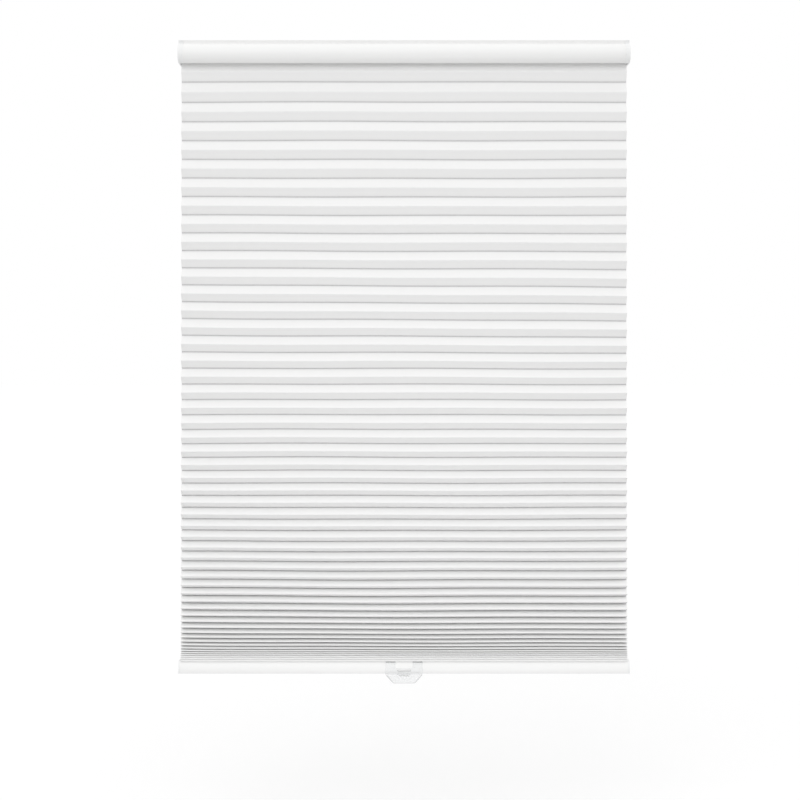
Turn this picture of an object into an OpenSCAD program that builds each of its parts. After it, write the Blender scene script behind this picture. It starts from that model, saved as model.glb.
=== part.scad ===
// Cordless honeycomb blind that hangs from two wall brackets.
// Frame in millimetres: X to the right as seen, -Y to the front, Z up.
// Origin: centre of the four bracket screw holes, on the plane of the wall.

/* [Blind] */

// Width over the end caps of the headrail
blind_width = 762; // [640:1:900]
// Gap between the wall and the back of the headrail
wall_gap = 5; // [4.5:0.5:8]

/* [Fabric] */

// Number of cells between headrail and bottom rail
cell_count = 52; // [44:1:60]
// Length of one flat face of a cell, from glue strip to fold
cell_face = 19; // [17:0.25:19.5]
// Slope of the faces in the top cell, in degrees from level
top_angle = 62.9; // [52:0.1:66]
// How much longer the middle cells stay open than an even fade
angle_bow = 0.16; // [0:0.01:0.3]
// Slope of the faces in the closed cells of the stack
stack_angle = 4.7; // [4.4:0.1:7]
// Width of the glue strip between two cells
glue_width = 6; // [5:0.5:7]
// Thickness of the cloth
cloth = 0.4; // [0.3:0.05:0.5]
// How far the cloth ends inside the end caps on each side
cloth_inset = 4; // [3.5:0.5:8]
// Width of the hems held in the rails
hem_width = 23; // [20:0.5:26]
// Height of a hem with the strip in it
hem_height = 2.6; // [2.2:0.1:3.2]

/* [Headrail] */

// Radius of the half-round front
nose_radius = 16; // [15.5:0.25:18]
// Height of the set-back lip above the front
lip_height = 7; // [6:0.5:10]
// Depth of the skirt below the slot for the upper hem
skirt_depth = 4.9; // [4:0.1:6]
// Wall thickness of the headrail
headrail_wall = 1.4; // [1.2:0.1:1.6]
// Length of a headrail end cap
cap_length = 8; // [6:0.5:10]
// Thickness of its outer plate
cap_plate = 2.5; // [2:0.1:3]
// How far the end caps' tongues reach into the rails
cap_tongue = 12; // [10:0.5:14]
// Wall thickness of the tongues
tongue_wall = 1.6; // [1.4:0.1:1.8]

/* [Brackets] */

// Distance from the end of the headrail to the middle of a bracket
bracket_inset = 81; // [60:1:95]
// Width of a bracket
bracket_width = 30; // [24:1:36]
// Thickness of the bracket's sheet steel
bracket_sheet = 1.5; // [1.2:0.1:1.8]
// Height between the two screw holes of a bracket
screw_spacing = 16; // [14:1:18]
// Diameter of a screw hole
screw_hole = 4.5; // [4:0.1:5]

/* [Bottom rail] */

// Height of the bottom rail
rail_height = 20; // [19.5:0.5:24]
// Half of the depth of the bottom rail
rail_reach = 23; // [22:0.5:25]
// Wall thickness of the bottom rail
rail_wall = 1.3; // [1.1:0.1:1.5]
// Thickness of a bottom rail end cap
rail_cap = 3; // [2:0.25:4]
// Width of the weight bar
weight_width = 18; // [14:1:22]
// Height of the weight bar
weight_height = 4; // [3:0.5:5]
// Distance from a lift cord to the end of the weight bar
weight_clear = 26; // [20:1:60]

/* [Lift] */

// Distance from the end of the headrail to a lift cord
cord_inset = 120.5; // [115:0.5:140]
// Diameter of a lift cord
cord_diameter = 1; // [0.8:0.1:1.2]
// Radius of the cord wound on a spool
winding_radius = 8; // [7.5:0.25:9]
// Radius of a guide roller in its groove
roller_radius = 5; // [4.5:0.1:5.5]
// Width of a guide roller
roller_width = 6; // [5.4:0.2:7]
// Number of teeth on each gear
gear_teeth = 20; // [18:1:24]
// Pitch radius of each gear
gear_radius = 13.5; // [13:0.25:15]
// Thickness of each gear
gear_thick = 4; // [3:0.25:4.5]
// Radius of the posts the gears turn on
axle_radius = 3; // [2.5:0.1:3.3]

/* [Handle] */

// Width of the pull handle
handle_width = 64; // [56:1:80]
// Width of each of its two arms
handle_arm = 16; // [12:0.5:20]
// Width of the slot under its bar
handle_slot = 20; // [14:1:24]
// Thickness of its shell
handle_wall = 2; // [1.6:0.1:2.6]
// How far the handle's tab hangs below the bottom rail
handle_drop = 15.6; // [12:0.2:22]
// Width of the tab's lower edge
tab_width = 36; // [28:1:42]
// How far the handle's foot reaches under the rail
foot_reach = 15; // [12:0.5:18]

/* [Clearances] */

// Running gap round turning pieces
run_gap = 0.4; // [0.3:0.05:0.5]
// Gap round pieces that are slid or clipped into place
seat_gap = 0.2; // [0.1:0.05:0.3]

/* [Hidden] */

$fn = 64;

white = [0.94, 0.94, 0.93];
pale = [0.86, 0.86, 0.85];
cloth_white = [0.95, 0.95, 0.94];
steel = [0.70, 0.71, 0.73];
grey = [0.62, 0.63, 0.65];
clear = [0.85, 0.90, 0.93, 0.45];

// Gear outline: each flank is an involute of the base circle.
gear_module = 2 * gear_radius / gear_teeth;
base_r = gear_radius * cos(20);
tip_r = gear_radius + 0.88 * gear_module;
root_r = gear_radius - 1.25 * gear_module;
function roll(r) = sqrt(max(0, r * r / (base_r * base_r) - 1)) * 180 / PI;
function involute(r) = roll(r) - acos(min(1, base_r / r));
function half_tooth(r) = 90 / gear_teeth - 0.55 + involute(gear_radius) - involute(r);
function polar(r, a) = [r * cos(a), r * sin(a)];
flank = [root_r, base_r, (2 * base_r + tip_r) / 3, (base_r + 2 * tip_r) / 3, tip_r];
gear_points = [for (k = [0:gear_teeth - 1]) each concat(
    [for (j = [0:4]) polar(flank[j], k * 360 / gear_teeth - half_tooth(max(base_r, flank[j])))],
    [for (j = [4:-1:0]) polar(flank[j], k * 360 / gear_teeth + half_tooth(max(base_r, flank[j])))])];

// Headrail: its depth holds the gears behind the cloth and the hem's slot in front.
cord_r = cord_diameter / 2;
hem_half = hem_width / 2;
slot_half = hem_half + 1.5;
mouth_half = glue_width / 2 + 1.5;
headrail_back = winding_radius + cord_r + tip_r + run_gap + headrail_wall;
headrail_front = slot_half + 2 * headrail_wall + 1.2 + nose_radius;
headrail_height = 2 * nose_radius + lip_height;
cloth_y = -wall_gap - headrail_back;
back_y = -wall_gap;
front_y = cloth_y - headrail_front;
crest_z = headrail_height / 2;
skirt_z = -headrail_height / 2;
slot_lip_z = skirt_z + skirt_depth;
slot_z = slot_lip_z + headrail_wall;
floor_under_z = slot_z + hem_height + 1.4;
floor_z = floor_under_z + headrail_wall;
nose_y = front_y + nose_radius;
nose_z = skirt_z + nose_radius;
ledge_z = skirt_z + 2 * nose_radius;
lip_y = nose_y + 2.5;
seat_z = crest_z - 1.1 - bracket_sheet;
seat_under_z = seat_z - headrail_wall;
front_jaw_y = lip_y + headrail_wall + 7.1;
back_jaw_y = back_y - 8;

// Cloth: slope and half depth of each cell, and the level of each glue strip.
function fade(i) = i / (cell_count - 2);
function open_angle(i) = top_angle * (1 - fade(i)) * (1 + angle_bow * fade(i));
function cell_angle(i) = max(stack_angle, open_angle(i));
function cell_pitch(i) = 2 * cell_face * sin(cell_angle(i));
function cell_reach(i) = cell_face * cos(cell_angle(i));
cloth_top = slot_lip_z - 0.3;
strip_z = [for (i = 0, z = cloth_top; i <= cell_count; z = z - cell_pitch(i), i = i + 1) z];
cloth_end = strip_z[cell_count];
cloth_width = blind_width - 2 * cloth_inset;

// Bottom rail levels.
rail_top = cloth_end - 0.1;
rail_z = rail_top - rail_height;
rail_arc = rail_reach - 1;
rail_mid = 6;
rail_slot_z = rail_top - rail_wall;
rail_web_z = rail_slot_z - hem_height - 1.2;

// Lift: cords, rollers and the row of four gears.
cord_x = blind_width / 2 - cord_inset;
bend = roller_radius + cord_r;
roller_x = cord_x - bend;
roller_z = floor_z + run_gap + roller_radius + cord_diameter;
cord_z = roller_z + bend;
pin_r = 1.5;
gear_gap = 2 * gear_radius;
gear_y = cloth_y + winding_radius + cord_r;
spool_x = 1.5 * gear_gap;
drum_x = 0.5 * gear_gap;
base_z = floor_z + 2;
gear_z = base_z + run_gap;
gear_top = gear_z + gear_thick;
flange_z = cord_z + cord_r + 1.1;
flange_r = gear_radius - 1;
cover_z = flange_z + 1.2 + run_gap;
bore_r = axle_radius + 0.08;
core_r = axle_radius + 2.5;
post_r = 3.2;
post_x = spool_x + gear_radius + 2;
motor_half = post_x + 5;
post_front_y = cloth_y - cord_r - 2 - post_r;
post_back_y = back_y - headrail_wall - run_gap - post_r;

// Knot of a lift cord under its seat in the anchor plug.
anchor_bore = cord_r + 0.2;
knot_r = cord_r + 1.1;
plug_r = knot_r + 2.3;
knot_seat = 5;
knot_z = rail_z + knot_seat - sqrt(knot_r * knot_r - anchor_bore * anchor_bore) - 0.02;

// Lays a (Y, Z) section along X, centred on x.
module along_x(length, x = 0) {
    translate([x, 0, 0])
        rotate([90, 0, 90])
            linear_extrude(height = length, center = true)
                children();
}

// Rectangle in a (Y, Z) section from two corners.
module panel(y0, z0, y1, z1) {
    translate([y0, z0])
        square([y1 - y0, z1 - z0]);
}

// Block from two corners.
module block(a, b) {
    translate(a)
        cube(b - a);
}

module headrail_outline(back_top) {
    translate([nose_y, nose_z])
        circle(r = nose_radius);
    panel(nose_y, skirt_z, back_y, ledge_z);
    panel(lip_y, skirt_z, back_y, back_top);
    panel(lip_y, skirt_z, lip_y + headrail_wall, crest_z);
}

module nose_inside() {
    translate([nose_y, nose_z])
        circle(r = nose_radius - headrail_wall);
}

module headrail_section() {
    difference() {
        headrail_outline(seat_z);
        intersection() {
            nose_inside();
            panel(front_y, floor_z, nose_y + 1, crest_z);
        }
        panel(nose_y, floor_z, back_y - headrail_wall, ledge_z - headrail_wall);
        panel(lip_y + headrail_wall, floor_z, back_y - headrail_wall, seat_under_z);
        panel(front_jaw_y, seat_under_z - 1, back_jaw_y, crest_z);
        intersection() {
            nose_inside();
            panel(front_y, skirt_z, nose_y, floor_under_z);
        }
        panel(cloth_y - slot_half, slot_z, cloth_y + slot_half, floor_under_z);
        panel(cloth_y + slot_half + headrail_wall, slot_z, back_y - headrail_wall, floor_under_z);
        panel(cloth_y - mouth_half, slot_lip_z - 1, cloth_y + mouth_half, slot_z + 1);
        panel(nose_y + headrail_wall, skirt_z - 1, back_y - headrail_wall, slot_lip_z);
    }
}

module headrail() {
    color(white)
        difference() {
            along_x(blind_width - 2 * cap_length)
                headrail_section();
            for (s = [-1, 1])
                translate([s * cord_x, cloth_y, floor_under_z - 1])
                    cylinder(r = 3, h = headrail_wall + 2);
        }
}

module headrail_cap(s) {
    rim = cap_length - cap_plate;
    run = rim + cap_tongue + 1;
    edge = blind_width / 2;
    inset = headrail_wall + seat_gap + tongue_wall;
    along_x(cap_plate, s * (edge - cap_plate / 2))
        headrail_outline(crest_z);
    along_x(rim, s * (edge - cap_plate - rim / 2))
        headrail_section();
    along_x(run, s * (edge - cap_plate + 1 - run / 2))
        difference() {
            panel(lip_y + headrail_wall + seat_gap, floor_z + seat_gap,
                back_y - headrail_wall - seat_gap, seat_under_z - seat_gap);
            panel(lip_y + inset, floor_z + seat_gap + tongue_wall, back_y - inset, crest_z);
        }
}

module headrail_cap_left() {
    color(white)
        headrail_cap(-1);
}

module headrail_cap_right() {
    color(white)
        headrail_cap(1);
}

module wall_bracket(s) {
    x = s * (blind_width / 2 - bracket_inset);
    top = seat_z + bracket_sheet;
    jaw = seat_under_z - seat_gap;
    low = jaw - bracket_sheet;
    front = front_jaw_y + seat_gap;
    back = back_jaw_y - seat_gap;
    difference() {
        along_x(bracket_width, x) {
            panel(lip_y + headrail_wall + 0.6, seat_z, 0, top);
            panel(-bracket_sheet, -screw_spacing / 2 - screw_hole - 2, 0, top);
            panel(front, low, front + bracket_sheet, top);
            panel(front_jaw_y - 5.5, low, front + bracket_sheet, jaw);
            panel(back - bracket_sheet, low, back, top);
            panel(back - bracket_sheet, low, back_jaw_y + 5, jaw);
        }
        for (h = [-1, 1])
            translate([x, 1, h * screw_spacing / 2])
                rotate([90, 0, 0])
                    cylinder(d = screw_hole, h = bracket_sheet + 2);
    }
}

module wall_bracket_left() {
    color(steel)
        wall_bracket(-1);
}

module wall_bracket_right() {
    color(steel)
        wall_bracket(1);
}

module cord_holes(r, z0, z1) {
    for (s = [-1, 1])
        translate([s * cord_x, cloth_y, z0])
            cylinder(r = r, h = z1 - z0);
}

module top_strip() {
    color(pale)
        difference() {
            along_x(cloth_width)
                panel(cloth_y - hem_half + 0.7, slot_z + cloth,
                    cloth_y + hem_half - 0.7, slot_z + hem_height - cloth);
            cord_holes(1.8, slot_z - 1, slot_z + hem_height + 1);
        }
}

module bottom_strip() {
    color(pale)
        difference() {
            along_x(cloth_width)
                panel(cloth_y - hem_half + 0.7, rail_slot_z - hem_height + cloth,
                    cloth_y + hem_half - 0.7, rail_slot_z - cloth);
            cord_holes(1.8, rail_slot_z - hem_height - 1, rail_slot_z + 1);
        }
}

// Outer edge of the cloth on one side, from the upper hem to the lower one.
function cloth_edge(s) = concat(
    [[s * hem_half, slot_z + hem_height], [s * hem_half, slot_z], [s * glue_width / 2, slot_z]],
    [for (i = [0:cell_count - 1]) each [
        [s * glue_width / 2, strip_z[i]],
        [s * (glue_width / 2 + cell_reach(i)), (strip_z[i] + strip_z[i + 1]) / 2]]],
    [[s * glue_width / 2, cloth_end], [s * glue_width / 2, rail_slot_z]],
    [[s * hem_half, rail_slot_z], [s * hem_half, rail_slot_z - hem_height]]);

function flipped(list) = [for (i = [len(list) - 1:-1:0]) list[i]];

// Hollow of one cell: its hexagon moved inward by the thickness of the cloth.
function cell_hollow(i) = let (
    flat = glue_width / 2 - cloth * tan(cell_angle(i) / 2),
    fold = glue_width / 2 + cell_reach(i) - cloth / sin(cell_angle(i)),
    a = strip_z[i] - cloth,
    b = strip_z[i + 1] + cloth,
    m = (a + b) / 2)
    [[-flat, a], [-fold, m], [-flat, b], [flat, b], [fold, m], [flat, a]];

module honeycomb_fabric() {
    color(cloth_white)
        difference() {
            translate([0, cloth_y, 0])
                along_x(cloth_width)
                    difference() {
                        polygon(concat(cloth_edge(-1), flipped(cloth_edge(1))));
                        for (i = [0:cell_count - 1])
                            polygon(cell_hollow(i));
                        panel(cloth - hem_half, slot_z + cloth,
                            hem_half - cloth, slot_z + hem_height - cloth);
                        panel(cloth - hem_half, rail_slot_z - hem_height + cloth,
                            hem_half - cloth, rail_slot_z - cloth);
                    }
            cord_holes(1.5, rail_slot_z - hem_height - 1, slot_z + hem_height + 1);
        }
}

module axle(x) {
    translate([x, gear_y, base_z - 1])
        cylinder(r = axle_radius, h = cover_z - base_z + 1);
    translate([x, gear_y, cover_z - 1])
        cylinder(r = axle_radius - 1, h = 3);
}

module at_posts() {
    for (x = [-post_x, post_x], y = [post_front_y, post_back_y])
        translate([x, y, 0])
            children();
}

module motor_base() {
    color(grey)
        difference() {
            union() {
                block([-motor_half, post_front_y - 5, floor_z],
                    [motor_half, back_y - headrail_wall, base_z]);
                for (x = [-spool_x, -drum_x, drum_x, spool_x])
                    axle(x);
                at_posts()
                    translate([0, 0, base_z - 1])
                        cylinder(r = post_r, h = cover_z - base_z + 1);
            }
            at_posts()
                translate([0, 0, cover_z - 8])
                    cylinder(r = 1.4, h = 9);
        }
}

module motor_cover() {
    color(pale)
        difference() {
            block([-motor_half, post_front_y - 5, cover_z],
                [motor_half, back_y - headrail_wall - seat_gap, cover_z + 2]);
            for (x = [-spool_x, -drum_x, drum_x, spool_x])
                translate([x, gear_y, cover_z - 1])
                    cylinder(r = axle_radius - 1, h = 4);
            at_posts()
                translate([0, 0, cover_z - 1])
                    cylinder(r = 1.4, h = 4);
        }
}

module motor_screws() {
    color(steel)
        at_posts() {
            translate([0, 0, cover_z + 2])
                cylinder(r = 2.6, h = 1.4);
            translate([0, 0, cover_z - 7])
                cylinder(r = 1.4, h = 10);
        }
}

// Gear with a hub above it; turned so that its teeth meet the gaps of its neighbour.
module geared(x, turn, hub_r) {
    translate([x, gear_y, 0])
        difference() {
            union() {
                translate([0, 0, gear_z])
                    linear_extrude(height = gear_thick)
                        rotate(turn * (180 - 180 / gear_teeth))
                            polygon(gear_points);
                if (hub_r > 0) {
                    translate([0, 0, gear_top - 1])
                        cylinder(r = hub_r, h = flange_z - gear_top + 1);
                    translate([0, 0, flange_z])
                        cylinder(r = flange_r, h = 1.2);
                }
            }
            translate([0, 0, gear_z - 1])
                cylinder(r = bore_r, h = flange_z - gear_z + 4);
        }
}

module cord_spool_left() {
    color(pale)
        geared(-spool_x, 0, winding_radius - 2);
}

module cord_spool_right() {
    color(pale)
        geared(spool_x, 1, winding_radius - 2);
}

module output_drum() {
    color(pale)
        geared(-drum_x, 1, core_r + 0.5);
}

module idler_gear() {
    color(pale)
        geared(drum_x, 0, 0);
}

module storage_drum() {
    low = gear_top + run_gap;
    color(white)
        translate([drum_x, gear_y, 0])
            difference() {
                union() {
                    translate([0, 0, low])
                        cylinder(r = flange_r, h = 1);
                    translate([0, 0, low])
                        cylinder(r = core_r, h = flange_z - low);
                    translate([0, 0, flange_z])
                        cylinder(r = flange_r, h = 1.2);
                }
                translate([0, 0, low - 1])
                    cylinder(r = bore_r, h = flange_z - low + 4);
            }
}

module ring(x, inner, outer, z0, z1) {
    translate([x, gear_y, z0])
        difference() {
            cylinder(r = outer, h = z1 - z0);
            translate([0, 0, -1])
                cylinder(r = inner, h = z1 - z0 + 2);
        }
}

module cord_winding_left() {
    color(cloth_white)
        ring(-spool_x, winding_radius - 2, winding_radius - 0.05, gear_top, flange_z);
}

module cord_winding_right() {
    color(cloth_white)
        ring(spool_x, winding_radius - 2, winding_radius - 0.05, gear_top, flange_z);
}

// Ribbon spring: a coil round each drum and the straight lap that crosses between them.
module spring_ribbon() {
    z0 = gear_top + 1 + 2 * run_gap;
    z1 = flange_z - run_gap;
    store_r = flange_r - 2.5;
    work_r = flange_r - 3.3;
    lap = 0.6;
    bite = 0.15;
    lean = asin((store_r + work_r - lap - 2 * bite) / gear_gap);
    run = gear_gap * cos(lean);
    color(steel) {
        ring(drum_x, core_r + seat_gap, store_r, z0, z1);
        ring(-drum_x, core_r + 0.5 + seat_gap, work_r, z0, z1);
        translate([drum_x, gear_y, z0])
            rotate(-lean)
                translate([-run, bite - store_r, 0])
                    cube([run, lap, z1 - z0]);
    }
}

module cord_guide() {
    near = roller_width / 2 + seat_gap;
    far = near + 2.8;
    reach = roller_radius + cord_diameter;
    difference() {
        union() {
            block([roller_x - reach - 5, cloth_y - far - 3, floor_z],
                [roller_x + reach + 7, cloth_y + far + 3, floor_z + 1.5]);
            block([roller_x - 5, cloth_y - far, floor_z], [roller_x + 5, cloth_y - near, roller_z + 4]);
            block([roller_x - 5, cloth_y + near, floor_z], [roller_x + 5, cloth_y + far, roller_z + 4]);
        }
        block([roller_x - reach - 1, cloth_y - near, floor_z - 1],
            [roller_x + reach + 2, cloth_y + near, floor_z + 3]);
        translate([roller_x, cloth_y + far + 1, roller_z])
            rotate([90, 0, 0])
                cylinder(r = pin_r, h = 2 * far + 2);
    }
}

module cord_guide_left() {
    color(pale)
        mirror([1, 0, 0])
            cord_guide();
}

module cord_guide_right() {
    color(pale)
        cord_guide();
}

module roller_pin(s) {
    half = roller_width / 2 + seat_gap + 2.8;
    translate([s * roller_x, cloth_y + half, roller_z])
        rotate([90, 0, 0])
            cylinder(r = pin_r, h = 2 * half);
}

module roller_pin_left() {
    color(steel)
        roller_pin(-1);
}

module roller_pin_right() {
    color(steel)
        roller_pin(1);
}

module guide_roller(s) {
    cheek = roller_width / 2 - cord_r - 0.7;
    translate([s * roller_x, cloth_y + roller_width / 2, roller_z])
        rotate([90, 0, 0])
            difference() {
                union() {
                    cylinder(r = roller_radius - 0.05, h = roller_width);
                    cylinder(r = roller_radius + cord_diameter, h = cheek);
                    translate([0, 0, roller_width - cheek])
                        cylinder(r = roller_radius + cord_diameter, h = cheek);
                }
                translate([0, 0, -1])
                    cylinder(r = pin_r + 0.08, h = roller_width + 2);
            }
}

module guide_roller_left() {
    color(white)
        guide_roller(-1);
}

module guide_roller_right() {
    color(white)
        guide_roller(1);
}

// Lift cord on the right: off its spool, over the roller, down through the cells to a knot.
module lift_cord() {
    translate([spool_x, cloth_y, cord_z])
        rotate([0, 90, 0])
            cylinder(r = cord_r, h = roller_x - spool_x);
    translate([roller_x, cloth_y, roller_z])
        rotate([90, 0, 0])
            rotate_extrude(angle = 90)
                translate([bend, 0])
                    circle(r = cord_r);
    translate([cord_x, cloth_y, knot_z])
        cylinder(r = cord_r, h = roller_z - knot_z);
    translate([cord_x, cloth_y, knot_z])
        sphere(r = knot_r);
}

module lift_cord_left() {
    color(cloth_white)
        mirror([1, 0, 0])
            lift_cord();
}

module lift_cord_right() {
    color(cloth_white)
        lift_cord();
}

// Bottom rail: both long sides are arcs, cut level at top and bottom.
module rail_outline(less) {
    intersection() {
        union() {
            translate([cloth_y - 1, rail_z + rail_mid])
                circle(r = rail_arc - less);
            translate([cloth_y + 1, rail_z + rail_mid])
                circle(r = rail_arc - less);
        }
        panel(cloth_y - 2 * rail_reach, rail_z + less, cloth_y + 2 * rail_reach, rail_top - less);
    }
}

module bottom_rail() {
    color(white)
        difference() {
            along_x(blind_width - 2 * rail_cap)
                difference() {
                    rail_outline(0);
                    difference() {
                        rail_outline(rail_wall);
                        panel(cloth_y - rail_reach, rail_web_z - rail_wall,
                            cloth_y + rail_reach, rail_web_z);
                        panel(cloth_y - slot_half - rail_wall, rail_web_z - 0.5,
                            cloth_y + slot_half + rail_wall, rail_top);
                    }
                    panel(cloth_y - slot_half, rail_web_z, cloth_y + slot_half, rail_slot_z);
                    panel(cloth_y - mouth_half, rail_slot_z - 1, cloth_y + mouth_half, rail_top + 1);
                }
            cord_holes(2, rail_web_z - rail_wall - 1, rail_web_z + 1);
            cord_holes(plug_r + 0.1, rail_z - 1, rail_z + rail_wall + 1);
        }
}

module bottom_rail_cap(s) {
    edge = blind_width / 2;
    half = slot_half + 1;
    low = rail_z + rail_wall + seat_gap;
    high = rail_web_z - rail_wall - seat_gap;
    along_x(rail_cap, s * (edge - rail_cap / 2))
        rail_outline(0);
    along_x(cap_tongue + 1, s * (edge - rail_cap + 1 - (cap_tongue + 1) / 2))
        difference() {
            panel(cloth_y - half, low, cloth_y + half, high);
            panel(cloth_y - half + tongue_wall, low + tongue_wall,
                cloth_y + half - tongue_wall, high - tongue_wall);
        }
}

module bottom_rail_cap_left() {
    color(white)
        bottom_rail_cap(-1);
}

module bottom_rail_cap_right() {
    color(white)
        bottom_rail_cap(1);
}

module weight_bar() {
    color(steel)
        along_x(2 * (cord_x - weight_clear))
            panel(cloth_y - weight_width / 2, rail_z + rail_wall,
                cloth_y + weight_width / 2, rail_z + rail_wall + weight_height);
}

module cord_anchor(s) {
    translate([s * cord_x, cloth_y, rail_z])
        difference() {
            union() {
                translate([0, 0, -1.2])
                    cylinder(r = plug_r + 1.6, h = 1.2);
                translate([0, 0, -0.5])
                    cylinder(r = plug_r, h = knot_seat + 4.5);
            }
            cylinder(r = anchor_bore, h = rail_height);
            translate([0, 0, -3])
                cylinder(r = knot_r + 0.4, h = knot_seat + 3);
        }
}

module cord_anchor_left() {
    color(pale)
        cord_anchor(-1);
}

module cord_anchor_right() {
    color(pale)
        cord_anchor(1);
}

// Side view of the handle: a shell over the rail's front, a hook above, a foot and tab below.
module handle_side() {
    hook = 0.8;
    hook_reach = 3.5;
    top_edge = 1 + sqrt(pow(rail_arc, 2) - pow(rail_height - rail_mid, 2));
    intersection() {
        difference() {
            translate([cloth_y - 1, rail_z + rail_mid])
                circle(r = rail_arc + seat_gap + handle_wall);
            translate([cloth_y - 1, rail_z + rail_mid])
                circle(r = rail_arc + seat_gap);
        }
        panel(cloth_y - 2 * rail_reach, rail_z - handle_wall, cloth_y - rail_reach / 2, rail_top + hook);
    }
    panel(cloth_y - top_edge - handle_wall, rail_top, cloth_y - top_edge + hook_reach, rail_top + hook);
    panel(cloth_y - rail_reach, rail_z - handle_wall, cloth_y - rail_reach + foot_reach, rail_z);
    translate([cloth_y - rail_reach, rail_z])
        polygon([[0, 0], [-handle_wall, 0], [-handle_wall - 1.8, -handle_drop], [-1.8, -handle_drop]]);
}

// Front view of the handle: two arms, a slotted bar and a tab that narrows downward.
module handle_front() {
    half = handle_width / 2;
    low = rail_z - handle_drop;
    bar = rail_z + 9;
    top = rail_top + 2;
    arm = half - 1;
    inner = arm - handle_arm;
    right = [[inner, bar], [inner, top], [arm, top], [arm, bar], [half, bar - 1], [half, rail_z - 1],
        [tab_width / 2 + 2.5, low + 2], [tab_width / 2, low]];
    left = [for (i = [len(right) - 1:-1:0]) [-right[i][0], right[i][1]]];
    difference() {
        polygon(concat(right, left));
        translate([-handle_slot / 2, rail_z + 5.2])
            square([handle_slot, 2]);
    }
}

module pull_handle() {
    color(clear)
        intersection() {
            along_x(handle_width)
                handle_side();
            rotate([90, 0, 0])
                linear_extrude(height = 2 * rail_reach - cloth_y)
                    handle_front();
        }
}

headrail();
headrail_cap_left();
headrail_cap_right();
wall_bracket_left();
wall_bracket_right();
top_strip();
honeycomb_fabric();
motor_base();
motor_cover();
motor_screws();
spring_ribbon();
cord_guide_left();
cord_guide_right();
roller_pin_left();
roller_pin_right();
guide_roller_left();
guide_roller_right();
lift_cord_left();
lift_cord_right();
cord_spool_left();
cord_spool_right();
cord_winding_left();
cord_winding_right();
output_drum();
idler_gear();
storage_drum();
bottom_rail();
bottom_rail_cap_left();
bottom_rail_cap_right();
bottom_strip();
weight_bar();
pull_handle();
cord_anchor_left();
cord_anchor_right();
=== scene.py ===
"""Looks of a white cordless honeycomb blind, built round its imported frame."""
import math

import bmesh
import bpy
import numpy as np
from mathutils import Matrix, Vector


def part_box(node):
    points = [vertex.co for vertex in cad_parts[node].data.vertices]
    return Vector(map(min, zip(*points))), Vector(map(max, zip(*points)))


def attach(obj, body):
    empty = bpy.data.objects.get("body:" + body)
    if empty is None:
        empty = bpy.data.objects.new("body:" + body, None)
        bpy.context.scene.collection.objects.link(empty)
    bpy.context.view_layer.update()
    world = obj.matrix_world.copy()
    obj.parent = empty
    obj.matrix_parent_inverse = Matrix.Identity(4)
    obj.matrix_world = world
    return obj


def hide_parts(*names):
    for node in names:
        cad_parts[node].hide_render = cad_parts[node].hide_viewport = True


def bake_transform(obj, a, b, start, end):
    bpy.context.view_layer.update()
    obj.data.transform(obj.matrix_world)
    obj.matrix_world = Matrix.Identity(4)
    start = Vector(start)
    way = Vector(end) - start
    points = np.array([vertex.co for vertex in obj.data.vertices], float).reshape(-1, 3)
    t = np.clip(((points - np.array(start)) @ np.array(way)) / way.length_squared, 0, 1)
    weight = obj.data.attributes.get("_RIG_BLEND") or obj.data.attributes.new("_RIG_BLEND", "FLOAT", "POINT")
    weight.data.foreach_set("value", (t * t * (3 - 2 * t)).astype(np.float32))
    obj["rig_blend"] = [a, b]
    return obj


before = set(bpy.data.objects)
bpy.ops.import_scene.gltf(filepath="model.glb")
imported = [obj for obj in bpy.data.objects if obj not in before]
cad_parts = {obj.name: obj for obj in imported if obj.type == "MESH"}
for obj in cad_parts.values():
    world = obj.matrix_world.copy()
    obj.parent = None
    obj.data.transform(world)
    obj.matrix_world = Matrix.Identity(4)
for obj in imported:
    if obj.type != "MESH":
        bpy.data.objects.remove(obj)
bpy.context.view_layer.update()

MM = 0.001

# Sizes in millimetres and degrees, the same as in the part's source
CELL_COUNT = 52
CELL_FACE = 19.0
TOP_ANGLE = 62.9
ANGLE_BOW = 0.16
STACK_ANGLE = 4.7
GLUE_WIDTH = 6.0
CLOTH = 0.4
CLOTH_GAP = 0.3
HEM_WIDTH = 23.0
HEM_HEIGHT = 2.6
SLOT_PLAY = 1.5
NOSE_RADIUS = 16.0
LIP_SETBACK = 2.5
SKIRT_DEPTH = 4.9
HEADRAIL_WALL = 1.4
HEADRAIL_HEM_ROOM = 1.4
FRONT_JAW = 7.1
BACK_JAW = 8.0
BRACKET_SHEET = 1.5
CAP_LENGTH = 8.0
CAP_PLATE = 2.5
CAP_TONGUE = 12.0
TONGUE_WALL = 1.6
RAIL_REACH = 23.0
RAIL_WALL = 1.3
RAIL_MID = 6.0
RAIL_HEM_ROOM = 1.2
RAIL_CAP = 3.0
ARC_OFFSET = 1.0
LIFT = 925.0
CORD_RADIUS = 0.5
KNOT_RADIUS = 1.6
ROLLER_RADIUS = 5.0
HANDLE_WIDTH = 64.0
HANDLE_ARM = 16.0
HANDLE_SLOT = 20.0
HANDLE_WALL = 2.0
TAB_WIDTH = 36.0
FOOT_REACH = 15.0
SEAT_GAP = 0.2


def node_box(node):
    """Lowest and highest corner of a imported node, in millimetres."""
    low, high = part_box(node)
    return np.array(low) / MM, np.array(high) / MM


# Levels and places read from the frame
head_low, head_high = node_box("headrail")
rail_low, rail_high = node_box("bottom_rail")
cord_low, cord_high = node_box("lift_cord_right")
handle_low, _ = node_box("pull_handle")
_, cap_high = node_box("headrail_cap_right")
_, fabric_high = node_box("honeycomb_fabric")
_, bracket_high = node_box("wall_bracket_right")

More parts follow.
